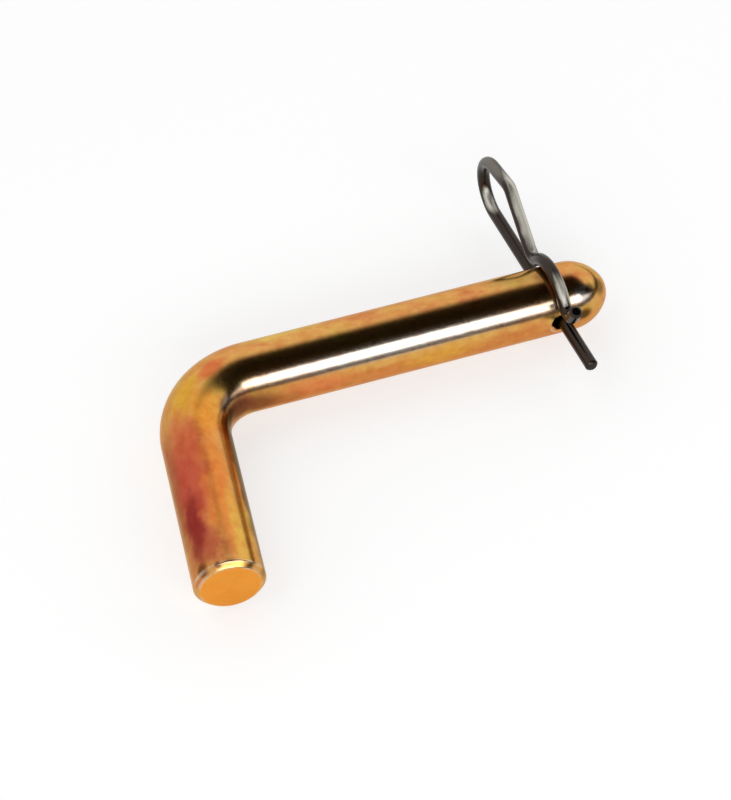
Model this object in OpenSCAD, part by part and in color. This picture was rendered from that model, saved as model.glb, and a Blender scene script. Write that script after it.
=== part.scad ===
// Bent hitch pin with its hairpin clip.
// +X runs along the shank to the nose, the handle points to -Y, and the pin lies flat with +Z up.
// The origin is on the shank's axis, halfway along its straight stretch.

/* [Bar] */
// Diameter of the round bar, a 5/8 inch bar
bar_d = 15.875; // [12:0.125:20]
// Straight stretch of the shank, from the bend to the start of the nose
shank_straight = 76.2; // [50:0.1:160]
// Last part of it, round the cross hole, which tapers faintly towards the nose
lead_l = 6.8; // [5:0.1:12]
// How much that taper takes off the radius
lead_drop = 0.04; // [0.01:0.01:0.2]
// Straight stretch of the handle, from the bend to its flat end
handle_straight = 39.6; // [20:0.1:80]
// Radius of the bend, to the middle of the bar
bend_r = 16; // [12:0.5:32]
// Angle between the shank and the handle
bend_angle = 96; // [80:1:110]

/* [Bar ends] */
// Length of the domed nose
nose_l = 9.4; // [8.2:0.1:14]
// Radius of the nose's rounded tip
nose_r = 6.2; // [4:0.1:7.4]
// Chamfer round the handle's flat end
end_chamfer = 1.15; // [0.3:0.05:3]

/* [Cross hole] */
// From the start of the nose back to the middle of the cross hole
hole_back = 3.9; // [2.8:0.1:20]
// How much wider than the wire the hole is
hole_play = 1.4; // [0.8:0.05:1.6]
// Least gap between the wire and the rim of the hole
hole_gap = 0.23; // [0.1:0.01:0.35]
// Chamfer at both mouths of the hole
hole_chamfer = 0.4; // [0.2:0.05:0.8]
// Turn of the hole about the shank, which lifts the clip's tip
hole_turn = 5; // [0:0.5:6]

/* [Clip] */
// Diameter of the spring wire
wire_d = 3; // [2.4:0.1:3.6]
// How far the straight leg comes out of the hole
leg_out = 15.3; // [8:0.1:25]
// From the bar to the start of the loop
loop_out = 23.4; // [17:0.1:32]
// Radius of the loop, to the middle of the wire
loop_r = 7; // [6:0.1:9]
// How far round the loop bends before it runs straight again
loop_turn = 171; // [165:1:180]
// Radius of the shoulder, where the wire turns back to the neck
shoulder_r = 3; // [2.2:0.1:4]
// How steeply the wire comes down from the shoulder to the neck
neck_fall = 38; // [34:1:44]
// Gap between the two legs at the neck
neck_gap = 2.4; // [1:0.1:3]
// Radius of the neck, just before the seat
neck_r = 3; // [2.2:0.1:4]
// Gap between the seated wire and the bar
seat_gap = 0.2; // [0.1:0.05:0.4]
// How far round the bar the seat ends, from the loop's side
seat_end = 145; // [120:1:150]
// Radius of the flare past the seat
flare_r = 2.6; // [2:0.1:4]
// Lift of the flared tip, from straight on
flare_lift = 62; // [30:1:80]
// Straight stretch of the flared tip
flare_l = 3.6; // [1:0.1:8]
// Chamfer at both ends of the wire
wire_chamfer = 0.5; // [0.2:0.05:0.9]

/* [Hidden] */
$fn = 72;

bar_r = bar_d / 2;
wire_r = wire_d / 2;
bend_x = -shank_straight / 2;
nose_x = shank_straight / 2;
hole_x = nose_x - hole_back;
hole_d = wire_d + hole_play;
bend_turn = 180 - bend_angle;
lead_r = bar_r - lead_drop;

// The nose's flank is one arc that leaves the bar without a step and meets the tip's arc the same way.
nose_run = nose_l - nose_r;
flank_r = (nose_run * nose_run + lead_r * lead_r - nose_r * nose_r) / (2 * (lead_r - nose_r));
flank_drop = flank_r - lead_r;
nose_meet = nose_run + nose_r * nose_run / (flank_r - nose_r);

// The clip leans in its hole towards the nose, as far as the play lets it.
clip_lean = atan((hole_play - 2 * hole_gap) / bar_d);

// The clip's path lies in one plane: x runs out along the straight leg to the loop,
// y across to the outer leg, with the bar's middle at [0, 0].
loop_x = bar_r + loop_out;
neck_y = wire_d + neck_gap;
seat_r = bar_r + seat_gap + wire_r;
neck_x = sqrt(pow(seat_r + neck_r, 2) - pow(neck_y + neck_r, 2));
seat_start = atan2(neck_y + neck_r, neck_x);

// Where the straight stretches on both sides of the shoulder start and end, and how long they
// have to be to meet.
function along(angle) = [cos(angle), sin(angle)];
function cross2(a, b) = a[0] * b[1] - a[1] * b[0];
fall_turn = 180 + neck_fall;
loop_end = [loop_x, loop_r] + loop_r * along(loop_turn - 90);
fall_end = [neck_x, neck_y + neck_r] + neck_r * along(fall_turn + 90);
shoulder_move = shoulder_r * (along(fall_turn - 90) - along(loop_turn - 90));
to_close = fall_end - loop_end - shoulder_move;
rise_l = cross2(to_close, along(fall_turn)) / sin(fall_turn - loop_turn);
fall_l = cross2(along(loop_turn), to_close) / sin(fall_turn - loop_turn);

// Each move is [length, turn, radius]: a straight stretch, and then an arc to the left (+) or the right (-).
clip_path = [
    [loop_x + bar_r + leg_out, loop_turn, loop_r],
    [rise_l, fall_turn - loop_turn, shoulder_r],
    [fall_l, seat_start + 90 - fall_turn, neck_r],
    [0, seat_end - seat_start, seat_r],
    [0, 90 - seat_end - flare_lift, flare_r],
    [flare_l, 0, 0]
];

// A straight stretch runs on into the bends beside it by lap, and is thinner than them by hair,
// so that they fuse into one solid without two surfaces that only touch.
lap = 0.1;
hair = 0.01;

// Half section of the nose, to be turned about its own axis: x is the radius, y the way forward.
module nose_section() {
    intersection() {
        translate([-flank_drop, 0]) circle(r = flank_r, $fn = 144);
        square([bar_r, nose_meet]);
    }
    intersection() {
        translate([0, nose_run]) circle(r = nose_r, $fn = 144);
        translate([0, nose_meet]) square([bar_r, nose_l]);
    }
}

// A rod along +Z whose far end is flat with a chamfer.
module chamfered_rod(r, length, chamfer) {
    rotate_extrude() polygon([[0, 0], [r, 0], [r, length - chamfer], [r - chamfer, length], [0, length]]);
}

// The cross hole, along Z through the bar's middle, with a chamfer at each mouth.
module cross_hole() {
    mouth_r = hole_d / 2 + hole_chamfer;
    cylinder(d = hole_d, h = bar_d * 2, center = true);
    for (side = [0, 180]) rotate([side, 0, 0]) translate([0, 0, bar_r - hole_chamfer])
        cylinder(r1 = hole_d / 2, r2 = mouth_r + bar_r, h = hole_chamfer + bar_r);
}

// A rod bent along a path of moves in the XY plane, which starts at [0, 0] along +X.
module bent_rod(path, r, chamfer, i = 0) {
    run = path[i][0];
    turn = path[i][1];
    radius = path[i][2];
    side = sign(turn);
    sweep = abs(turn);
    if (i == 0) translate([run + lap, 0, 0]) rotate([0, -90, 0]) chamfered_rod(r - hair, run + lap, chamfer);
    else if (turn == 0) translate([-lap, 0, 0]) rotate([0, 90, 0]) chamfered_rod(r - hair, run + lap, chamfer);
    else translate([-lap, 0, 0]) rotate([0, 90, 0]) cylinder(r = r - hair, h = max(run, lap) + 2 * lap);
    if (turn != 0) {
        skip = run > 0 ? 0 : lap / radius * 180 / PI;
        translate([run, side * radius, 0]) rotate(side > 0 ? skip - 90 : 90 - sweep)
            rotate_extrude(angle = sweep - skip) translate([radius, 0]) circle(r = r);
        translate([run + radius * sin(sweep), side * radius * (1 - cos(turn)), 0]) rotate(turn)
            bent_rod(path, r, chamfer, i + 1);
    }
}

// Puts its children, made in the clip's plane, where the clip sits in its hole.
module in_clip_plane() {
    translate([hole_x, 0, 0]) rotate([-hole_turn, 0, 0]) rotate([0, 0, clip_lean])
        rotate([90, 0, 90]) children();
}

module bent_pin() {
    color("goldenrod") difference() {
        union() {
            translate([bend_x, 0, 0]) rotate([0, 90, 0])
                cylinder(r = bar_r, h = shank_straight - lead_l);
            translate([nose_x - lead_l, 0, 0]) rotate([0, 90, 0])
                cylinder(r1 = bar_r, r2 = lead_r, h = lead_l);
            translate([nose_x, 0, 0]) rotate([0, 90, 0]) rotate_extrude() nose_section();
            translate([bend_x, -bend_r, 0]) rotate([0, 0, 90]) {
                rotate_extrude(angle = bend_turn) translate([bend_r, 0]) circle(r = bar_r);
                rotate([0, 0, bend_turn]) translate([bend_r, -lap, 0]) rotate([-90, 0, 0])
                    chamfered_rod(bar_r - hair, handle_straight + lap, end_chamfer);
            }
        }
        translate([hole_x, 0, 0]) rotate([90 - hole_turn, 0, 0]) cross_hole();
    }
}

module spring_clip() {
    color("dimgray") in_clip_plane() translate([-bar_r - leg_out, 0, 0])
        bent_rod(clip_path, wire_r, wire_chamfer);
}

bent_pin();
spring_clip();
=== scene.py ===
import math

import bpy
import numpy as np
from mathutils import Matrix, Vector


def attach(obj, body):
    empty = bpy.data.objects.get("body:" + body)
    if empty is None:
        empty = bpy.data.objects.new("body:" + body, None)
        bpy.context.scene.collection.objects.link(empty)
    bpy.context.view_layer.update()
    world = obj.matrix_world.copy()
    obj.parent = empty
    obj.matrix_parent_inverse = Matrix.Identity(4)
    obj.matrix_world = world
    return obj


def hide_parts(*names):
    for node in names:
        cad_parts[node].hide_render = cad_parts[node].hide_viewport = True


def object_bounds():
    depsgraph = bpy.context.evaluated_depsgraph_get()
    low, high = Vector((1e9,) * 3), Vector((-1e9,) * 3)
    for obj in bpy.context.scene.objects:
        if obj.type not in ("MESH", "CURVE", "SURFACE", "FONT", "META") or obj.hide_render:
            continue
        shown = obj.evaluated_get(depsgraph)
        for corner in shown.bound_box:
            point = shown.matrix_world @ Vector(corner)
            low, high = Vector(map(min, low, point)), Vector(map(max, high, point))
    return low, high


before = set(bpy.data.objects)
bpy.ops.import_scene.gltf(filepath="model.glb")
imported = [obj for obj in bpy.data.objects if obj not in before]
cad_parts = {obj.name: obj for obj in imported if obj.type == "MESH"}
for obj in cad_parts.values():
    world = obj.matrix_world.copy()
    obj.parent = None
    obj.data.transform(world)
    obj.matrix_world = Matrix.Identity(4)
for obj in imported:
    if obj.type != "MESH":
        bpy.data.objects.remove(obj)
cadBox = [list(corner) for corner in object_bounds()]

mm = 0.001
barDiameter, wireDiameter = 15.875, 3.0     # millimetres; the hole and the clip are fitted to both
barRadius, wireRadius = barDiameter / 2, wireDiameter / 2

closestRings = 0.004            # millimetres; rings nearer than this are one ring
areaFade = (0.35, 1.15)         # a coloured area fades out between these shares of its half size
noiseRange = (0.3, 0.7)         # where nearly all values of a noise lie


def linearColour(hexText):
    channels = [int(hexText[i:i + 2], 16) / 255 for i in (1, 3, 5)]
    return [c / 12.92 if c <= 0.04045 else ((c + 0.055) / 1.055) ** 2.4 for c in channels] + [1.0]


def addNode(tree, kind, place=(0, 0), settings=None, links=None):
    # links: input name or index -> a fixed value, an output socket, or a node, which gives its first output
    node = tree.nodes.new(kind)
    node.location = place
    for key, value in (settings or {}).items():
        setattr(node, key, value)
    for key, value in (links or {}).items():
        socket = node.inputs[key]
        if isinstance(value, bpy.types.Node):
            value = value.outputs[0]
        if isinstance(value, bpy.types.NodeSocket):
            tree.links.new(value, socket)
        else:
            socket.default_value = value
    return node


def along(degrees):
    return np.array([math.cos(math.radians(degrees)), math.sin(math.radians(degrees))])


def walkPath(start, heading, moves, straightStep, arcStep):
    # straight stretches and arcs, as a wire bender makes them: the middle line's points in its
    # plane, and how far each one is from the start
    points, travels = [np.array(start, float)], [0.0]

    def keep(point, travel):
        points.append(point)
        travels.append(travel)

    for run, turn, radius in moves:
        origin, travelled = points[-1], travels[-1]
        direction = along(heading)
        steps = max(1, math.ceil(run / straightStep))
        for i in range(1, steps + 1):
            if run > 0:
                keep(origin + direction * run * i / steps, travelled + run * i / steps)
        if turn:
            side = math.copysign(1, turn)
            origin, travelled = points[-1], travels[-1]
            centre = origin + side * radius * along(heading + 90)
            steps = max(2, math.ceil(abs(turn) / arcStep))
            for i in range(1, steps + 1):
                angle = turn * i / steps
                keep(centre + radius * along(heading + angle - side * 90),
                     travelled + radius * math.radians(abs(angle)))
            heading += turn
    return np.array(points), np.array(travels)


def roundedCorners(outline, rounding, steps=4):
    # softens the corners of an open outline of (travel, radius) points; two corners that share a
    # short side leave a little of it between them
    mostOfSide = 1 / 2.2
    result = [np.array(outline[0], float)]
    for before, corner, after in zip(outline, outline[1:], outline[2:]):
        before, corner, after = (np.array(p, float) for p in (before, corner, after))
        inward, outward = before - corner, after - corner
        cut = min(rounding, np.linalg.norm(inward) * mostOfSide, np.linalg.norm(outward) * mostOfSide)
        a = corner + inward / np.linalg.norm(inward) * cut
        b = corner + outward / np.linalg.norm(outward) * cut
        for i in range(steps + 1):
            t = i / steps
            result.append((1 - t) ** 2 * a + 2 * t * (1 - t) * corner + t * t * b)
    result.append(np.array(outline[-1], float))
    return np.array(result)


def ringsAlong(points, travels, outline):
    # one ring for every point of the path and of the outline: place in the plane, travel, radius
    stops = np.unique(np.round(np.concatenate([travels, outline[:, 0]]), 4))
    stops = stops[(stops >= outline[0, 0]) & (stops <= outline[-1, 0])]
    stops = stops[np.concatenate([[True], np.diff(stops) > closestRings])]
    places = np.stack([np.interp(stops, travels, points[:, i]) for i in (0, 1)], axis=1)
    radii = np.interp(stops, outline[:, 0], outline[:, 1])
    return places, stops, radii


def buildRodTree():
    # one tree for every rod: rings along a line, joined and closed at both ends
    tree = bpy.data.node_groups.new("sweptRod", "GeometryNodeTree")
    face = tree.interface
    face.new_socket("Rings", in_out="INPUT", socket_type="NodeSocketGeometry")
    face.new_socket("Rod radius", in_out="INPUT", socket_type="NodeSocketFloat").subtype = "DISTANCE"
    face.new_socket("Sides", in_out="INPUT", socket_type="NodeSocketInt")
    face.new_socket("Plane normal", in_out="INPUT", socket_type="NodeSocketVector")
    face.new_socket("Finish", in_out="INPUT", socket_type="NodeSocketMaterial")
    face.new_socket("Rod", in_out="OUTPUT", socket_type="NodeSocketGeometry")

    given = addNode(tree, "NodeGroupInput", (-1400, 0))
    share = addNode(tree, "GeometryNodeInputNamedAttribute", (-1400, -300),
                    {"data_type": "FLOAT"}, {"Name": "ringShare"})
    travel = addNode(tree, "GeometryNodeInputNamedAttribute", (-1400, -450),
                     {"data_type": "FLOAT"}, {"Name": "ringTravel"})
    radius = addNode(tree, "ShaderNodeMath", (-1200, -300), {"operation": "MULTIPLY"},
                     {0: share.outputs["Attribute"], 1: given.outputs["Rod radius"]})
    points = addNode(tree, "GeometryNodeMeshToPoints", (-1200, 0), {}, {"Mesh": given.outputs["Rings"]})
    order = addNode(tree, "GeometryNodeInputIndex", (-1200, -200))
    line = addNode(tree, "GeometryNodePointsToCurves", (-1000, 0), {}, {"Points": points, "Weight": order})
    turned = addNode(tree, "GeometryNodeSetCurveNormal", (-800, 0), {"mode": "FREE"},
                     {"Curve": line, "Normal": given.outputs["Plane normal"]})
    circle = addNode(tree, "GeometryNodeCurvePrimitiveCircle", (-1000, -500), {"mode": "RADIUS"},
                     {"Resolution": given.outputs["Sides"], "Radius": 1.0})
    profilePlace = addNode(tree, "GeometryNodeInputPosition", (-1000, -700))
    profile = addNode(tree, "GeometryNodeCaptureAttribute", (-800, -500))
    profile.capture_items.new("VECTOR", "Around")
    tree.links.new(circle.outputs[0], profile.inputs[0])
    tree.links.new(profilePlace.outputs[0], profile.inputs["Around"])
    swept = addNode(tree, "GeometryNodeCurveToMesh", (-500, 0), {},
                    {"Curve": turned, "Profile Curve": profile, "Scale": radius, "Fill Caps": True})
    # straightened place: x along the rod, y and z across it, so that a pattern follows the bends
    across = addNode(tree, "ShaderNodeVectorMath", (-500, -400), {"operation": "SCALE"},
                     {0: profile.outputs["Around"], "Scale": radius})
    parts = addNode(tree, "ShaderNodeSeparateXYZ", (-350, -400), {}, {0: across})
    straight = addNode(tree, "ShaderNodeCombineXYZ", (-200, -400), {},
                       {"X": travel.outputs["Attribute"], "Y": parts.outputs[0], "Z": parts.outputs[1]})
    stored = addNode(tree, "GeometryNodeStoreNamedAttribute", (-50, 0),
                     {"data_type": "FLOAT_VECTOR", "domain": "CORNER"},
                     {"Geometry": swept, "Name": "rodSpace", "Value": straight})
    real = addNode(tree, "GeometryNodeRealizeInstances", (150, 0), {}, {"Geometry": stored})
    done = addNode(tree, "GeometryNodeSetMaterial", (350, 0), {},
                   {"Geometry": real, "Material": given.outputs["Finish"]})
    addNode(tree, "NodeGroupOutput", (550, 0), {}, {0: done})
    return tree


rodTree = buildRodTree()


def sweepRod(name, places, travels, radii, toRowFrame, rodRadius, sides, finish):
    # places are in millimetres in the rod's own plane; toRowFrame puts that plane in the row frame
    mesh = bpy.data.meshes.new(name + "Rings")
    flat = np.column_stack([places, np.zeros(len(places))]) * mm
    world = [toRowFrame @ Vector(p) for p in flat]
    mesh.from_pydata(world, [], [])
    for label, values in (("ringShare", radii / rodRadius), ("ringTravel", travels * mm)):
        store = mesh.attributes.new(label, "FLOAT", "POINT")
        store.data.foreach_set("value", values.astype(np.float32))
    host = bpy.data.objects.new(name, mesh)
    bpy.context.scene.collection.objects.link(host)
    modifier = host.modifiers.new("Rod", "NODES")
    modifier.node_group = rodTree
    sockets = {item.name: item.identifier for item in rodTree.interface.items_tree
               if item.item_type == "SOCKET" and item.in_out == "INPUT"}
    modifier[sockets["Rod radius"]] = rodRadius * mm
    modifier[sockets["Sides"]] = sides
    modifier[sockets["Plane normal"]] = tuple(toRowFrame.to_3x3() @ Vector((0, 0, 1)))
    modifier[sockets["Finish"]] = finish
    return host


def bakeMesh(host, name, smoothUpTo):
    # turns the result of the modifiers into a plain mesh with clean edges
    bpy.context.view_layer.update()
    evaluated = host.evaluated_get(bpy.context.evaluated_depsgraph_get())
    mesh = bpy.data.meshes.new_from_object(evaluated)
    mesh.name = name
    old = host.data
    host.modifiers.clear()
    host.data = mesh
    bpy.data.meshes.remove(old)
    for label in ("ringShare", "ringTravel", "Around"):
        if label in mesh.attributes:
            mesh.attributes.remove(mesh.attributes[label])
    mesh.shade_smooth()
    mesh.set_sharp_from_angle(angle=math.radians(smoothUpTo))


def startMaterial(name):
    material = bpy.data.materials.new(name)
    material.use_nodes = True
    tree = material.node_tree
    tree.nodes.clear()
    return material, tree


def stretchedNoise(tree, rod, size, detail, place):
    # noise over the straightened rod; size is that of one patch in millimetres, along and across
    perMetre = 1 / (size[0] * mm), 1 / (size[1] * mm), 1 / (size[1] * mm)
    mapped = addNode(tree, "ShaderNodeMapping", place, {}, {"Vector": rod, "Scale": perMetre})
    return addNode(tree, "ShaderNodeTexNoise", (place[0] + 200, place[1]), {},
                   {"Vector": mapped, "Scale": 1.0, "Detail": detail, "Roughness": 0.6})


def wanderingPlace(tree, rod, size, reach, place):
    # moves each point of the pattern a little, so that an area's edge isn't an even oval
    drift = stretchedNoise(tree, rod, size, 3.0, place)
    shift = addNode(tree, "ShaderNodeVectorMath", (place[0] + 450, place[1]), {"operation": "MULTIPLY_ADD"},
                    {0: drift.outputs["Color"], 1: (reach * mm,) * 3, 2: (-reach / 2 * mm,) * 3})
    return addNode(tree, "ShaderNodeVectorMath", (place[0] + 650, place[1]), {"operation": "ADD"},
                   {0: rod, 1: shift}).outputs[0]


def areaMask(tree, rod, radius, area, strength, place):
    # the strength in the middle of an area of a rod, falling to 0 at its edge; an area where the
    # rod is thinner gives its own radius last
    travel, angle, halfTravel, halfAngle = area[:4]
    radius = area[4] if len(area) > 4 else radius
    turn = math.radians(angle)
    halfWidth = 2 * radius * math.sin(math.radians(halfAngle) / 2)
    middle = (travel * mm, radius * math.cos(turn) * mm, radius * math.sin(turn) * mm)
    perMetre = 1 / (halfTravel * mm), 1 / (halfWidth * mm), 1 / (halfWidth * mm)
    away = addNode(tree, "ShaderNodeVectorMath", place, {"operation": "SUBTRACT"}, {0: rod, 1: middle})
    shares = addNode(tree, "ShaderNodeVectorMath", (place[0] + 160, place[1]), {"operation": "MULTIPLY"},
                     {0: away, 1: perMetre})
    far = addNode(tree, "ShaderNodeVectorMath", (place[0] + 320, place[1]), {"operation": "LENGTH"},
                  {0: shares}).outputs["Value"]
    return addNode(tree, "ShaderNodeMapRange", (place[0] + 480, place[1]),
                   {"interpolation_type": "SMOOTHSTEP"},
                   {"Value": far, "From Min": areaFade[1], "From Max": areaFade[0], "To Max": strength})


def ringMask(tree, value, middle, half, place):
    # 1 where the value is near the middle, falling to 0 at half to either side; both in millimetres
    off = addNode(tree, "ShaderNodeMath", place, {"operation": "SUBTRACT"}, {0: value, 1: middle * mm})
    size = addNode(tree, "ShaderNodeMath", (place[0] + 150, place[1]), {"operation": "ABSOLUTE"}, {0: off})
    return addNode(tree, "ShaderNodeMapRange", (place[0] + 300, place[1]),
                   {"interpolation_type": "SMOOTHSTEP"},
                   {"Value": size, "From Min": half * mm, "From Max": 0.2 * half * mm})


def layColours(tree, colour, layers, place):
    # lays colours over each other through their masks, in the order of the list; inputs 6 and 7
    # and output 2 are the Mix node's colour sockets
    for i, (mask, hexText, blend) in enumerate(layers):
        colour = addNode(tree, "ShaderNodeMix", (place[0] + 60 * i, place[1] + 20 * i),
                         {"data_type": "RGBA", "blend_type": blend},
                         {"Factor": mask, 6: colour, 7: linearColour(hexText)}).outputs[2]
    return colour


# sizes in millimetres and angles in degrees
pin = {
    "shankStraight": 76.2,
    "leadLength": 6.8, "leadDrop": 0.04,        # a faint taper round the cross hole
    "handleStraight": 39.6,
    "bendRadius": 16, "bendAngle": 96,
    "noseLength": 9.4, "noseRadius": 6.2,
    "endChamfer": 1.15,
    "edgeRounding": 0.16,                       # what plating and tumbling leave of a turned edge
    "holeBack": 3.9, "holePlay": 1.4, "holeGap": 0.23, "holeChamfer": 0.4, "holeTurn": 5,
    # how finely it is drawn
    "sides": 128, "holeSides": 72, "straightStep": 2.0, "arcStep": 1.5,
    "flankSteps": 22, "tipSteps": 9, "tipRing": 0.12,
    "smoothUpTo": 24,
    # each pattern's size is that of one patch or line in millimetres, along the bar and across it
    "film": {
        "cloudSize": (11.1, 6.7),   # the film's clouds, where it dried slower or thicker
        "cloudColours": [(0.30, "#d3ae56"), (0.43, "#dba75b"), (0.55, "#dc9f5a"), (0.70, "#d2854f")],
        "wanderSize": (6.7, 4.5),
        "wander": 5.0,              # how far the edge of an area strays
        # areas of the film's colour, three of them painted shade and reflection as marked: (travel from the
        # flat end, angle round the bar from the top, half size of each in millimetres and degrees), colour,
        # strength
        "areas": [
            # painted reflection: a deeper orange along the shank's lower front, deepening the floor's golden
            # reflection there
            ((100, 95, 62, 42), "#e2914c", 0.75),
            ((104, 70, 38, 12), "#e8bf66", 0.60),
            ((22, 8, 22, 34), "#e5843a", 0.75),
            ((22, -62, 22, 30), "#954837", 0.75),
            ((21, -34, 25, 36), "#bb4d3e", 0.90),
            ((12, -38, 12, 22), "#842829", 0.85),
            ((33, -6, 9, 16), "#b9483a", 0.60),
            ((7, 30, 14, 18), "#e4b452", 0.80),
            ((5, -16, 7, 17), "#ab4d3b", 0.75),
            ((36, -19, 7, 20), "#c2573a", 0.60),
            ((47, -22, 7, 22), "#d6a233", 0.80),
            ((43, 16, 9, 32), "#ea9a34", 0.75),
            ((55, -9, 5, 20), "#d2633a", 0.75),
            ((72, -40, 12, 28), "#e4c566", 0.90),
            ((88, -42, 7, 20), "#d98a5a", 0.60),
            ((79, 82, 9, 26), "#ea8a52", 0.70),
            ((106, 88, 10, 26), "#eab04a", 0.85),
            # painted shade: dark brown along the inner side of the handle and the bend
            ((27, 72, 40, 21), "#5a3e19", 0.90),
            ((30, 160, 18, 36), "#cf7a42", 0.60),
            ((110, 180, 26, 40), "#cfa645", 0.60),
            # painted reflection of the dark clip on the shank's top, beside its hole
            ((128, -20, 9, 26), "#b08a4c", 0.70),
            ((128, -60, 8, 30), "#d2a04c", 0.60),
        ],
        # crisper ones that don't stray, all of them painted light: painted shade inside the bend, a painted
        # dark reflection of the clip, a painted highlight and painted dark reflections on the nose, painted
        # dark spots in the end chamfer's glint, and last a painted highlight streak along the shank, where the
        # soft box reflects
        "paintedLightMarks": [
            # painted shade inside the bend
            ((42, 69, 16, 15), "#281109", 0.95),
            ((34, 62, 17, 14), "#46301a", 0.80),
            ((49, 48, 5, 12), "#3c190e", 0.75),
            # painted dark reflection of the clip beside its hole
            ((134, -6, 3.5, 16), "#7a563a", 0.60),
            # on the nose: a painted highlight, then painted dark reflections
            ((140.8, 44, 2.9, 19, 7.8), "#f6f2ea", 0.90),
            ((143.1, 37, 1.8, 14, 7.3), "#5a3a24", 0.85),
            ((146.0, 36, 2.4, 26, 5.4), "#6e4c2c", 0.80),
            ((140.8, 79, 2.5, 13, 7.8), "#43300f", 0.90),
            # painted shade where the bend meets the shank
            ((55, 82, 9, 24), "#6b3a29", 0.90),
            ((63, 92, 7, 26), "#84492c", 0.85),
            ((70, 100, 5, 20), "#b06a34", 0.50),
            # painted dark spots in the glint on the end's chamfer
            ((0.8, -17, 1.1, 7), "#2b2013", 0.90),
            ((1.6, -46, 2.2, 13), "#6a3a1c", 0.90),
            # painted highlight: a pale streak along the shank where the soft box's reflection falls
            ((98, 49, 52, 18), "#f3efe6", 0.90),
        ],
        "mottleSize": (3.0, 2.6), "mottleFade": (0.4, 0.7), "mottleTint": "#e0a488", "mottleStrength": 0.38,
        "endDepth": 0.02,           # what counts as the flat end
        "endColour": "#ffa83c", "endStrength": 0.85, "endRoughness": 0.25,
        "ringPitch": 0.55,          # drawn twice as coarse as a real cut
        "ringStrength": 0.5, "ringDepth": 0.05,
        "zincColour": "#e9dfc4", "wornWidth": 0.5, "wornFade": (0.35, 0.6), "wornStrength": 0.45,
        "edgeTint": "#f6e6cf",      # how the film colours the reflection near the outline
        "roughness": (0.15, 0.22),
        "lineSize": (17, 0.11),     # about three times as coarse as the real lines, which wouldn't show
        "lineStrength": 0.22, "lineDepth": 0.02,
        "grainSize": (0.7, 0.7),    # the plating's grain, far coarser than its real 0.05 mm to show
        "grainStrength": 0.12, "grainDepth": 0.02,
    },
}
bendX, noseX = -pin["shankStraight"] / 2, pin["shankStraight"] / 2
bendTurn = 180 - pin["bendAngle"]
holeX = noseX - pin["holeBack"]
holeDiameter = wireDiameter + pin["holePlay"]
holeTravel = pin["handleStraight"] + pin["bendRadius"] * math.radians(bendTurn) + holeX - bendX


def filmClouds(tree, rod, film):
    # the film's random clouds, as a colour
    cloud = stretchedNoise(tree, rod, film["cloudSize"], 3.0, (-2400, 300))
    tint = addNode(tree, "ShaderNodeValToRGB", (-1950, 300), {}, {"Fac": cloud.outputs["Fac"]})
    stops = tint.color_ramp.elements
    stops.remove(stops[1])
    for i, (position, hexText) in enumerate(film["cloudColours"]):
        stop = stops[0] if i == 0 else stops.new(position)
        stop.position = position
        stop.color = linearColour(hexText)
    return tint.outputs["Color"]


def filmAreas(tree, rod, areas, place):
    # the layers of a list of areas, for layColours
    return [(areaMask(tree, rod, barRadius, area, strength, (place[0], place[1] + 200 * i)), hexText, "MIX")
            for i, (area, hexText, strength) in enumerate(areas)]


def rubbedEdges(tree, travel, up, fromAxis, width):
    # 1 on both edges of the flat end's chamfer, and on the rim of the cross hole
    chamfer = pin["endChamfer"]
    nearEnd = addNode(tree, "ShaderNodeMath", (-2000, -900), {"operation": "LESS_THAN"},
                      {0: travel, 1: chamfer / 2 * mm})
    inner = addNode(tree, "ShaderNodeMath", (-1600, -1000), {"operation": "MULTIPLY"},
                    {0: ringMask(tree, fromAxis, barRadius - chamfer, width, (-2000, -1000)), 1: nearEnd})
    outer = ringMask(tree, travel, chamfer, width, (-2000, -1100))
    pastHole = addNode(tree, "ShaderNodeMath", (-2400, -750), {"operation": "SUBTRACT"},
                       {0: travel, 1: holeTravel * mm})
    fromHole = addNode(tree, "ShaderNodeCombineXYZ", (-2300, -750), {}, {"X": pastHole, "Y": up})
    toHole = addNode(tree, "ShaderNodeVectorMath", (-2200, -750), {"operation": "LENGTH"},
                     {0: fromHole}).outputs["Value"]
    rim = ringMask(tree, toHole, holeDiameter / 2 + pin["holeChamfer"], width, (-2000, -750))
    ends = addNode(tree, "ShaderNodeMath", (-1450, -1000), {"operation": "MAXIMUM"}, {0: inner, 1: outer})
    return addNode(tree, "ShaderNodeMath", (-1450, -900), {"operation": "MAXIMUM"}, {0: ends, 1: rim})


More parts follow.
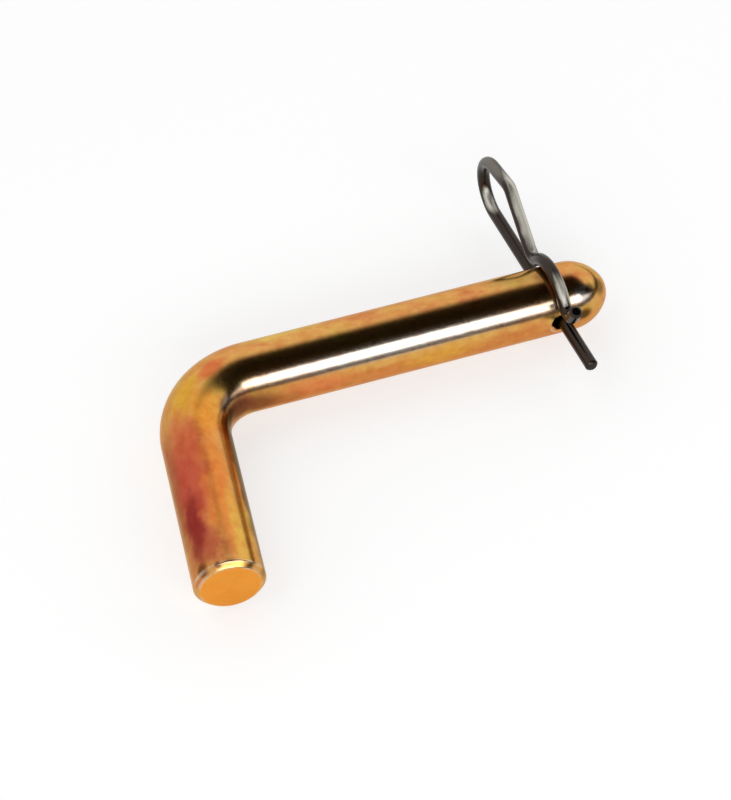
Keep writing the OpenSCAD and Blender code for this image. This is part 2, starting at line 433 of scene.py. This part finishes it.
def makeChromate(film):
    # Yellow zinc chromate on a cold drawn steel bar: a thin, clear, gold film over bright zinc.
    # The eye sees a hard metallic mirror whose colour drifts from gold to red and olive in soft
    # clouds, with fine lines drawn along the bar, turned rings on its flat end, and paler zinc
    # where edges have rubbed.
    material, tree = startMaterial("yellowZincChromate")
    rod = addNode(tree, "ShaderNodeAttribute", (-3200, 0), {"attribute_name": "rodSpace"}).outputs["Vector"]
    travel, up, side = addNode(tree, "ShaderNodeSeparateXYZ", (-2400, -400), {}, {0: rod}).outputs
    across = addNode(tree, "ShaderNodeCombineXYZ", (-2300, -500), {}, {"Y": up, "Z": side})
    fromAxis = addNode(tree, "ShaderNodeVectorMath", (-2200, -400), {"operation": "LENGTH"},
                       {0: across}).outputs["Value"]
    atEnd = addNode(tree, "ShaderNodeMath", (-2200, -600), {"operation": "LESS_THAN"},
                    {0: travel, 1: film["endDepth"] * mm})

    # colour: clouds, areas (some of them painted shade and reflection), marks of painted light, mottling, the
    # flat end, and rubbed edges where the mottling lets them
    wandered = wanderingPlace(tree, rod, film["wanderSize"], film["wander"], (-2900, 700))
    mottle = stretchedNoise(tree, rod, film["mottleSize"], 2.0, (-1400, 450)).outputs["Fac"]
    spotted = addNode(tree, "ShaderNodeMapRange", (-900, 450), {},
                      {"Value": mottle, "From Min": film["mottleFade"][0], "From Max": film["mottleFade"][1],
                       "To Max": film["mottleStrength"]})
    ended = addNode(tree, "ShaderNodeMath", (-450, 400), {"operation": "MULTIPLY"},
                    {0: atEnd, 1: film["endStrength"]})
    patchy = addNode(tree, "ShaderNodeMapRange", (-1800, -1250), {},
                     {"Value": mottle, "From Min": film["wornFade"][0], "From Max": film["wornFade"][1],
                      "To Max": film["wornStrength"]})
    worn = addNode(tree, "ShaderNodeMath", (-1300, -900), {"operation": "MULTIPLY"},
                   {0: rubbedEdges(tree, travel, up, fromAxis, film["wornWidth"]), 1: patchy})
    colour = layColours(tree, filmClouds(tree, rod, film),
                        filmAreas(tree, wandered, film["areas"], (-1900, 700))
                        + filmAreas(tree, rod, film["paintedLightMarks"], (-900, 700))
                        + [(spotted, film["mottleTint"], "MULTIPLY"),
                           (ended, film["endColour"], "MIX"),
                           (worn, film["zincColour"], "MIX")], (-2000, 500))

    # gloss, and the relief of turning, drawing and plating
    phase = addNode(tree, "ShaderNodeMath", (-2100, -400), {"operation": "MULTIPLY"},
                    {0: fromAxis, 1: 2 * math.pi / (film["ringPitch"] * mm)})
    rings = addNode(tree, "ShaderNodeMath", (-2000, -400), {"operation": "SINE"}, {0: phase})
    turned = addNode(tree, "ShaderNodeMath", (-1850, -400), {"operation": "MULTIPLY"}, {0: rings, 1: atEnd})
    drawn = stretchedNoise(tree, rod, film["lineSize"], 2.0, (-2400, -1500)).outputs["Fac"]
    grain = stretchedNoise(tree, rod, film["grainSize"], 3.0, (-2400, -1200)).outputs["Fac"]
    rough = addNode(tree, "ShaderNodeMapRange", (-1500, -300), {},
                    {"Value": grain, "From Min": noiseRange[0], "From Max": noiseRange[1],
                     "To Min": film["roughness"][0], "To Max": film["roughness"][1]})
    roughEnd = addNode(tree, "ShaderNodeMath", (-1300, -300), {"operation": "MULTIPLY_ADD"},
                       {0: atEnd, 1: film["endRoughness"], 2: rough})
    relief = None
    for i, (height, kind) in enumerate(((turned, "ring"), (drawn, "line"), (grain, "grain"))):
        below = {"Normal": relief} if relief else {}
        relief = addNode(tree, "ShaderNodeBump", (-900 + 200 * i, -500), {},
                         {"Strength": film[kind + "Strength"], "Distance": film[kind + "Depth"] * mm,
                          "Height": height, **below})
    shader = addNode(tree, "ShaderNodeBsdfPrincipled", (500, 0), {},
                     {"Base Color": colour, "Metallic": 1.0, "Specular Tint": linearColour(film["edgeTint"]),
                      "Roughness": roughEnd, "Normal": relief})
    addNode(tree, "ShaderNodeOutputMaterial", (800, 0), {}, {"Surface": shader})
    return material


def noseOutline():
    # radius against the way forward: one arc from the bar, then the tip's own arc
    leadRadius, tip = barRadius - pin["leadDrop"], pin["noseRadius"]
    run = pin["noseLength"] - tip
    flank = (run ** 2 + leadRadius ** 2 - tip ** 2) / (2 * (leadRadius - tip))
    drop = flank - leadRadius
    meet = run + tip * run / (flank - tip)
    far = run + math.sqrt(tip ** 2 - pin["tipRing"] ** 2)
    flankPart = [(y, math.sqrt(flank ** 2 - y ** 2) - drop) for y in np.linspace(0, meet, pin["flankSteps"])]
    angles = np.linspace(math.asin((meet - run) / tip), math.asin((far - run) / tip), pin["tipSteps"])
    return flankPart + [(run + tip * math.sin(a), tip * math.cos(a)) for a in angles[1:]]


def cutHole(rod, finish):
    # the cross hole, cut with a rod that flares at both mouths and ends well outside the bar; its
    # pattern goes on from the bar's
    reach, inside = barRadius * 1.4, barRadius - pin["holeChamfer"]
    mouth = holeDiameter / 2 + reach - inside
    flare = np.array([(-reach, mouth), (-inside, holeDiameter / 2), (inside, holeDiameter / 2), (reach, mouth)])
    acrossBar = Matrix.Translation((holeX * mm, 0, 0)) \
        @ Matrix.Rotation(math.radians(-pin["holeTurn"]), 4, "X") @ Matrix.Rotation(math.radians(90), 4, "Z")
    cutter = sweepRod("holeCutter", flare * [1, 0], holeTravel + flare[:, 0], flare[:, 1], acrossBar,
                      holeDiameter / 2, pin["holeSides"], finish)
    cut = rod.modifiers.new("Hole", "BOOLEAN")
    cut.operation, cut.solver, cut.object = "DIFFERENCE", "EXACT", cutter
    return cutter


def makePin(finish):
    handleHeading = along(bendTurn)
    bendCentre = np.array([bendX, -pin["bendRadius"]])
    bendStart = bendCentre + pin["bendRadius"] * along(90 + bendTurn)
    start = bendStart - pin["handleStraight"] * handleHeading
    moves = [(pin["handleStraight"], -bendTurn, pin["bendRadius"]),
             (pin["shankStraight"] + pin["noseLength"], 0, 0)]
    points, travels = walkPath(start, bendTurn, moves, pin["straightStep"], pin["arcStep"])
    toNose = travels[-1] - pin["noseLength"]
    chamfer = pin["endChamfer"]
    endPart = roundedCorners([(0, barRadius - 2 * chamfer), (0, barRadius - chamfer), (chamfer, barRadius),
                              (2 * chamfer, barRadius)], pin["edgeRounding"])[1:]
    outline = np.array([tuple(p) for p in endPart]
                       + [(toNose - pin["leadLength"], barRadius)]
                       + [(toNose + y, r) for y, r in noseOutline()])
    places, stops, radii = ringsAlong(points, travels, outline)
    rod = sweepRod("bentPin", places, stops, radii, Matrix.Identity(4), barRadius, pin["sides"], finish)
    cutter = cutHole(rod, finish)
    bakeMesh(rod, "bentPin", pin["smoothUpTo"])
    bpy.data.objects.remove(cutter)
    return rod


bentPin = makePin(makeChromate(pin["film"]))
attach(bentPin, "pin")
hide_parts("bent_pin")
print("bent pin:", len(bentPin.data.polygons), "faces")


# sizes in millimetres and angles in degrees
clip = {
    "legOut": 15.3, "loopOut": 23.4, "loopRadius": 7, "loopTurn": 171,
    "shoulderRadius": 3, "neckFall": 38, "neckGap": 2.4, "neckRadius": 3,
    "seatGap": 0.2, "seatEnd": 145, "flareRadius": 2.6, "flareLift": 62, "flareLength": 3.6,
    "chamfer": 0.5, "edgeRounding": 0.12,
    # how finely it is drawn
    "sides": 40, "straightStep": 0.8, "arcStep": 3, "smoothUpTo": 30,
    "steel": {
        "colours": ("#453c36", "#332c28"),
        # painted highlights, where the wire catches the light: (travel along the wire, angle round it, half
        # sizes), strength
        "paintedHighlightAreas": [
            ((92, 75, 13, 60), 1.0),
            ((58, -105, 5, 50), 0.75),
            ((77, 125, 7, 60), 0.15),
            ((119, 35, 5, 35), 0.8),
            ((118.5, 98, 4.0, 45), 0.9),
        ],
        "paintedHighlightColour": "#efebdd", "paintedHighlightRoughness": 0.28,
        # sizes of patches and lines in millimetres, along the wire and across it
        "cloudSize": (6.7, 3.3), "wanderSize": (3.3, 1.4), "wander": 1.0,
        "roughness": (0.20, 0.30), "grainSize": (0.45, 0.45),
        "lineSize": (12.5, 0.083),      # about twice as coarse as the real lines, which wouldn't show
        "lineStrength": 0.3, "lineDepth": 0.015,
    },
}
# the straight leg leans in its hole towards the nose, as far as the play lets it
clipLean = math.degrees(math.atan((pin["holePlay"] - 2 * pin["holeGap"]) / barDiameter))


def makeSpringWire(steel):
    # Oil tempered spring steel wire: its furnace scale leaves a dark, faintly brown metal with a
    # soft gloss, and lines drawn along it. Paler, duller areas are painted highlights, laid where
    # the wire catches the light.
    material, tree = startMaterial("oilTemperedWire")
    rod = addNode(tree, "ShaderNodeAttribute", (-2600, 0), {"attribute_name": "rodSpace"}).outputs["Vector"]
    cloud = stretchedNoise(tree, rod, steel["cloudSize"], 3.0, (-1400, 200)).outputs["Fac"]
    wandered = wanderingPlace(tree, rod, steel["wanderSize"], steel["wander"], (-2400, 500))
    # painted highlights: paler, duller steel where the wire catches the light
    paintedHighlight = None
    for i, (area, strength) in enumerate(steel["paintedHighlightAreas"]):
        mask = areaMask(tree, wandered, wireRadius, area, strength, (-1700, 700 + 260 * i))
        paintedHighlight = mask if paintedHighlight is None else addNode(tree, "ShaderNodeMath", (-850, 700 + 260 * i),
                                                 {"operation": "MAXIMUM"}, {0: paintedHighlight, 1: mask})
    colour = layColours(tree, linearColour(steel["colours"][0]),
                        [(cloud, steel["colours"][1], "MIX"), (paintedHighlight, steel["paintedHighlightColour"], "MIX")], (-600, 250))
    drawn = stretchedNoise(tree, rod, steel["lineSize"], 2.0, (-1400, -300)).outputs["Fac"]
    grain = stretchedNoise(tree, rod, steel["grainSize"], 2.0, (-1400, -600)).outputs["Fac"]
    rough = addNode(tree, "ShaderNodeMapRange", (-700, -300), {},
                    {"Value": grain, "From Min": noiseRange[0], "From Max": noiseRange[1],
                     "To Min": steel["roughness"][0], "To Max": steel["roughness"][1]})
    dull = addNode(tree, "ShaderNodeMath", (-500, -300), {"operation": "MULTIPLY_ADD"},
                   {0: paintedHighlight, 1: steel["paintedHighlightRoughness"], 2: rough})
    lines = addNode(tree, "ShaderNodeBump", (-500, -500), {},
                    {"Strength": steel["lineStrength"], "Distance": steel["lineDepth"] * mm, "Height": drawn})
    shader = addNode(tree, "ShaderNodeBsdfPrincipled", (0, 0), {},
                     {"Base Color": colour, "Metallic": 1.0, "Roughness": dull, "Normal": lines})
    addNode(tree, "ShaderNodeOutputMaterial", (300, 0), {}, {"Surface": shader})
    return material


def clipMoves():
    # the wire's bends, from the tip of its straight leg: a length, then a turn to the left (+) or
    # right (-), and its radius; the bar's middle is at 0, 0
    loopX = barRadius + clip["loopOut"]
    neckY = wireDiameter + clip["neckGap"]
    seat = barRadius + clip["seatGap"] + wireRadius
    neckX = math.sqrt((seat + clip["neckRadius"]) ** 2 - (neckY + clip["neckRadius"]) ** 2)
    seatStart = math.degrees(math.atan2(neckY + clip["neckRadius"], neckX))
    fallTurn = 180 + clip["neckFall"]
    loopEnd = np.array([loopX, clip["loopRadius"]]) + clip["loopRadius"] * along(clip["loopTurn"] - 90)
    fallEnd = np.array([neckX, neckY + clip["neckRadius"]]) + clip["neckRadius"] * along(fallTurn + 90)
    shoulder = clip["shoulderRadius"] * (along(fallTurn - 90) - along(clip["loopTurn"] - 90))
    toClose = fallEnd - loopEnd - shoulder

    def cross(a, b):
        return a[0] * b[1] - a[1] * b[0]

    # how long the straight stretches on both sides of the shoulder have to be to meet
    bend = math.sin(math.radians(fallTurn - clip["loopTurn"]))
    riseLength = cross(toClose, along(fallTurn)) / bend
    fallLength = cross(along(clip["loopTurn"]), toClose) / bend
    return [
        (loopX + barRadius + clip["legOut"], clip["loopTurn"], clip["loopRadius"]),
        (riseLength, fallTurn - clip["loopTurn"], clip["shoulderRadius"]),
        (fallLength, seatStart + 90 - fallTurn, clip["neckRadius"]),
        (0, clip["seatEnd"] - seatStart, seat),
        (0, 90 - clip["seatEnd"] - clip["flareLift"], clip["flareRadius"]),
        (clip["flareLength"], 0, 0),
    ]


def makeClip(finish):
    points, travels = walkPath((-barRadius - clip["legOut"], 0), 0, clipMoves(),
                               clip["straightStep"], clip["arcStep"])
    chamfer, total = clip["chamfer"], travels[-1]
    firstEnd = roundedCorners([(0, wireRadius - 2 * chamfer), (0, wireRadius - chamfer), (chamfer, wireRadius),
                               (3 * chamfer, wireRadius)], clip["edgeRounding"])[1:]
    lastEnd = firstEnd[::-1] * [-1, 1] + [total, 0]
    places, stops, radii = ringsAlong(points, travels, np.vstack([firstEnd, lastEnd]))
    # from the clip's plane to the row frame: turned with the hole, leaning towards the nose
    toRowFrame = Matrix.Translation((holeX * mm, 0, 0)) \
        @ Matrix.Rotation(math.radians(-pin["holeTurn"]), 4, "X") \
        @ Matrix.Rotation(math.radians(clipLean), 4, "Z") \
        @ Matrix(((0, 0, 1, 0), (1, 0, 0, 0), (0, 1, 0, 0), (0, 0, 0, 1)))
    rod = sweepRod("springClip", places, stops, radii, toRowFrame, wireRadius, clip["sides"], finish)
    bakeMesh(rod, "springClip", clip["smoothUpTo"])
    return rod


springClip = makeClip(makeSpringWire(clip["steel"]))
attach(springClip, "clip")
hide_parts("spring_clip")
print("spring clip:", len(springClip.data.polygons), "faces")


# a white tent with a dark opening overhead, and a soft box in front
studio = {
    "floorColour": "#b4b4b4",
    "floorSize": 3.0,           # metres across
    # what the camera and the metal see of the card on top of the light that falls on it
    "floorForCamera": 0.66, "floorForMetal": 0.56,
    "wallColour": "#ffffff",
    "wallLight": 1.0,
    # the dark ceiling: its front and back edges, in degrees from the front's horizon over the top,
    # and its left and right edges, as parts of 1; each fades between its two numbers
    "ceilingFront": (33.1, 38.9), "ceilingBack": (110, 133),
    "ceilingLeft": (-0.68, -0.42), "ceilingRight": (0.93, 0.99),
    "ceilingMiddle": 0.2, "ceilingRound": 2.2,      # its back edge comes forward to both sides of this x
    "ceilingLight": 0.005,
    # the tent's dark hem, in front and to the right, in degrees above the floor; it rises to the front
    "hemFade": (6.6, 13.5), "hemRise": 0.10, "hemLight": 0.08,
    "hemSide": (0.87, -0.50, 0.0), "hemEdge": (-0.05, 0.30),
    "boxLight": 2.4,
    "boxLow": 21, "boxHigh": 44, "boxWide": 60,     # degrees above the floor, and across
    "boxDistance": 1.2,
}


def makeWorld():
    world = bpy.data.worlds.new("tent")
    bpy.context.scene.world = world
    world.use_nodes = True
    tree = world.node_tree
    tree.nodes.clear()
    direction = addNode(tree, "ShaderNodeTexCoord", (-1400, 0)).outputs["Generated"]
    x, y, z = addNode(tree, "ShaderNodeSeparateXYZ", (-1200, 0), {}, {0: direction}).outputs

    def joinEdges(edges, operation, place):
        # an edge: what is measured, the two numbers it fades between, its levels before and after
        joined = None
        for i, (value, span, before, after) in enumerate(edges):
            edge = addNode(tree, "ShaderNodeMapRange", (place[0], place[1] - 150 * i),
                           {"interpolation_type": "SMOOTHSTEP"},
                           {"Value": value, "From Min": span[0], "From Max": span[1],
                            "To Min": before, "To Max": after})
            joined = edge if joined is None else addNode(tree, "ShaderNodeMath",
                                                         (place[0] + 100 * i, place[1] - 150 * i + 50),
                                                         {"operation": operation}, {0: joined, 1: edge})
        return joined

    forward = addNode(tree, "ShaderNodeMath", (-1050, 200), {"operation": "MULTIPLY"}, {0: y, 1: -1.0})
    over = addNode(tree, "ShaderNodeMath", (-900, 200), {"operation": "ARCTAN2"}, {0: z, 1: forward})
    aside = addNode(tree, "ShaderNodeMath", (-1050, 100), {"operation": "SUBTRACT"},
                    {0: x, 1: studio["ceilingMiddle"]})
    asideSquared = addNode(tree, "ShaderNodeMath", (-900, 100), {"operation": "POWER"}, {0: aside, 1: 2.0})
    rounded = addNode(tree, "ShaderNodeMath", (-750, 100), {"operation": "MULTIPLY_ADD"},
                      {0: asideSquared, 1: studio["ceilingRound"], 2: over})
    front, back = ([math.radians(a) for a in studio[edge]] for edge in ("ceilingFront", "ceilingBack"))
    dark = joinEdges([(over, front, 0, 1), (rounded, back, 1, 0), (x, studio["ceilingLeft"], 0, 1),
                      (x, studio["ceilingRight"], 1, 0)], "MULTIPLY", (-600, 300))
    ceiling = addNode(tree, "ShaderNodeMapRange", (-100, 200), {},
                      {"Value": dark, "To Min": studio["wallLight"], "To Max": studio["ceilingLight"]})

    hemFade = [math.sin(math.radians(a)) for a in studio["hemFade"]]
    overHem = addNode(tree, "ShaderNodeMath", (-750, -350), {"operation": "MULTIPLY_ADD"},
                      {0: y, 1: studio["hemRise"], 2: z})
    toHem = addNode(tree, "ShaderNodeVectorMath", (-750, -500), {"operation": "DOT_PRODUCT"},
                    {0: direction, 1: studio["hemSide"]}).outputs["Value"]
    clear = joinEdges([(overHem, hemFade, 0, 1), (toHem, studio["hemEdge"], 1, 0)], "MAXIMUM", (-600, -350))
    hem = addNode(tree, "ShaderNodeMapRange", (-250, -350), {},
                  {"Value": clear, "To Min": studio["hemLight"], "To Max": 1.0})
    level = addNode(tree, "ShaderNodeMath", (50, 0), {"operation": "MULTIPLY"}, {0: ceiling, 1: hem})

    rays = addNode(tree, "ShaderNodeLightPath", (200, 300))
    tent = addNode(tree, "ShaderNodeBackground", (200, 0), {},
                   {"Color": linearColour(studio["wallColour"]), "Strength": level})
    white = addNode(tree, "ShaderNodeBackground", (200, -200), {}, {"Color": (1, 1, 1, 1), "Strength": 1.0})
    seen = addNode(tree, "ShaderNodeMixShader", (400, 0), {},
                   {0: rays.outputs["Is Camera Ray"], 1: tent, 2: white})
    addNode(tree, "ShaderNodeOutputWorld", (600, 0), {}, {"Surface": seen})


def makeFloor():
    # smooth white card: matt, with the object's soft shadow
    low = cadBox[0][2]
    half = studio["floorSize"] / 2
    mesh = bpy.data.meshes.new("floor")
    mesh.from_pydata([(-half, -half, low), (half, -half, low), (half, half, low), (-half, half, low)],
                     [], [(0, 1, 2, 3)])
    floor = bpy.data.objects.new("floor", mesh)
    bpy.context.scene.collection.objects.link(floor)
    material, tree = startMaterial("whiteCard")
    rays = addNode(tree, "ShaderNodeLightPath", (-600, 200))
    metal = addNode(tree, "ShaderNodeMath", (-400, 100), {"operation": "MULTIPLY"},
                    {0: rays.outputs["Is Glossy Ray"], 1: studio["floorForMetal"]})
    glow = addNode(tree, "ShaderNodeMath", (-200, 200), {"operation": "MULTIPLY_ADD"},
                   {0: rays.outputs["Is Camera Ray"], 1: studio["floorForCamera"], 2: metal})
    shader = addNode(tree, "ShaderNodeBsdfPrincipled", (0, 0), {},
                     {"Base Color": linearColour(studio["floorColour"]), "Roughness": 0.9,
                      "Specular IOR Level": 0.1, "Emission Color": (1, 1, 1, 1),
                      "Emission Strength": glow})
    addNode(tree, "ShaderNodeOutputMaterial", (300, 0), {}, {"Surface": shader})
    mesh.materials.append(material)


def makeSoftBox():
    low, high = math.radians(studio["boxLow"]), math.radians(studio["boxHigh"])
    middle = (low + high) / 2
    distance = studio["boxDistance"]
    height = 2 * distance * math.tan((high - low) / 2)
    width = 2 * distance * math.tan(math.radians(studio["boxWide"] / 2))
    data = bpy.data.lights.new("softBox", "AREA")
    data.shape = "RECTANGLE"
    data.size, data.size_y = width, height
    data.energy = studio["boxLight"] * math.pi * width * height
    lamp = bpy.data.objects.new("softBox", data)
    bpy.context.scene.collection.objects.link(lamp)
    lamp.location = (0, -distance * math.cos(middle), distance * math.sin(middle))
    lamp.rotation_euler = (-Vector(lamp.location)).to_track_quat("-Z", "Y").to_euler()
    lamp.visible_camera = False


# places and distances in millimetres, and angles in degrees
view = {
    "aim": (-15.03, -14.53, 0.0),
    "azimuth": 18.449,
    "elevation": 51.22,
    "distance": 666.8,
    "lens": 135.0,
    "sensor": 36.0,
}


def makeCamera():
    turn, drop = math.radians(view["azimuth"]), math.radians(view["elevation"])
    forward = Vector((math.sin(turn) * math.cos(drop), math.cos(turn) * math.cos(drop), -math.sin(drop)))
    data = bpy.data.cameras.new("camera")
    data.lens, data.sensor_width = view["lens"], view["sensor"]
    data.clip_start, data.clip_end = 0.01, 50
    camera = bpy.data.objects.new("camera", data)
    bpy.context.scene.collection.objects.link(camera)
    camera.location = Vector(view["aim"]) * mm - forward * view["distance"] * mm
    camera.rotation_euler = forward.to_track_quat("-Z", "Y").to_euler()
    bpy.context.scene.camera = camera


makeWorld()
makeFloor()
makeSoftBox()
makeCamera()
bpy.context.scene.view_settings.view_transform = "Standard"
print("studio ready")
